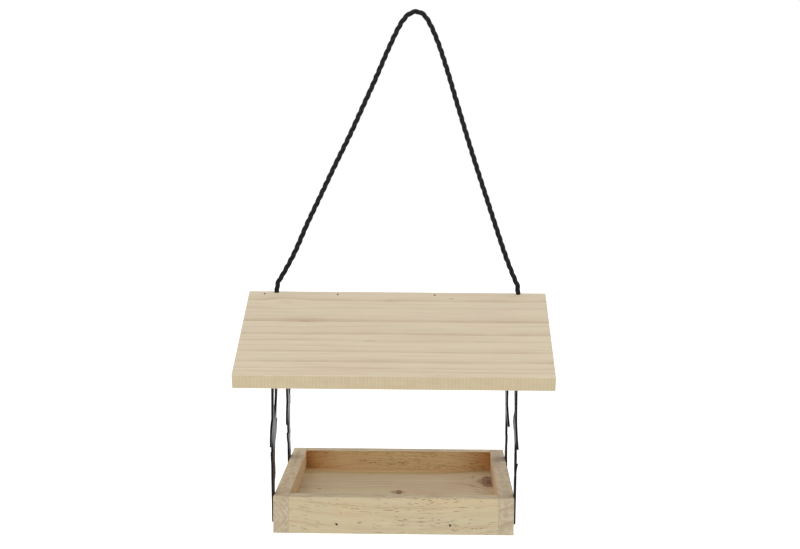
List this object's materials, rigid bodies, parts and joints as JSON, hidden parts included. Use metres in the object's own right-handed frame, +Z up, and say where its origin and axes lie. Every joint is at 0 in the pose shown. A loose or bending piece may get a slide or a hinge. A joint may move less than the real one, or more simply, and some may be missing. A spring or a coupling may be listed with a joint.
{
  "type": "hanging bird feeder",
  "caption": "Hanging bird table: open wooden tray under a gabled two-board roof, black sheet-metal branch side panels, twisted black rope loop through the ridge.",
  "frame": {"origin": "top of the rope loop, where it hangs on its hook", "axes": "+Z up, +X along the roof's ridge to the right of someone facing the front, -Y towards the front"},
  "size_m": [0.3, 0.2916, 0.5031],
  "materials": {
    "pine_roof": "planed, untreated",
    "pine_rail": "planed, untreated",
    "pine_floor": "planed, untreated",
    "black_sheet": "semi-gloss powder coat",
    "nail_steel": "dull wire",
    "screw_steel": "zinc plated",
    "black_rope": "twisted three-strand cord"
  },
  "bodies": {
    "hanger": {"hanging_rope": "black_rope"},
    "feeder": {"roof_front_board": "pine_roof", "roof_back_board": "pine_roof", "ridge_brad_1": "nail_steel", "ridge_brad_2": "nail_steel", "ridge_brad_3": "nail_steel", "tray_side_left": "pine_rail", "tray_side_right": "pine_rail", "tray_front_rail": "pine_rail", "tray_back_rail": "pine_rail", "tray_floor": "pine_floor", "floor_nail_front_left": "nail_steel", "floor_nail_front_right": "nail_steel", "floor_nail_back_left": "nail_steel", "floor_nail_back_right": "nail_steel", "corner_nail_left_front_1": "nail_steel", "corner_nail_left_front_2": "nail_steel", "corner_nail_left_back_1": "nail_steel", "corner_nail_left_back_2": "nail_steel", "corner_nail_right_front_1": "nail_steel", "corner_nail_right_front_2": "nail_steel", "corner_nail_right_back_1": "nail_steel", "corner_nail_right_back_2": "nail_steel", "side_panel_left": "black_sheet", "side_panel_right": "black_sheet", "roof_screw_left_1": "screw_steel", "roof_screw_left_2": "screw_steel", "roof_screw_right_1": "screw_steel", "roof_screw_right_2": "screw_steel", "panel_screw_left_1": "screw_steel", "panel_screw_left_2": "screw_steel", "panel_screw_right_1": "screw_steel", "panel_screw_right_2": "screw_steel", "rope_end_left": "black_rope", "rope_end_right": "black_rope"}
  },
  "joints": [
    {"name": "feeder_swing", "type": "hinge", "parent": "hanger", "child": "feeder", "pos_m": [-0.0175, 0, -0.2782], "axis": [1, 0, 0], "range_deg": [-55, 55]}
  ]
}
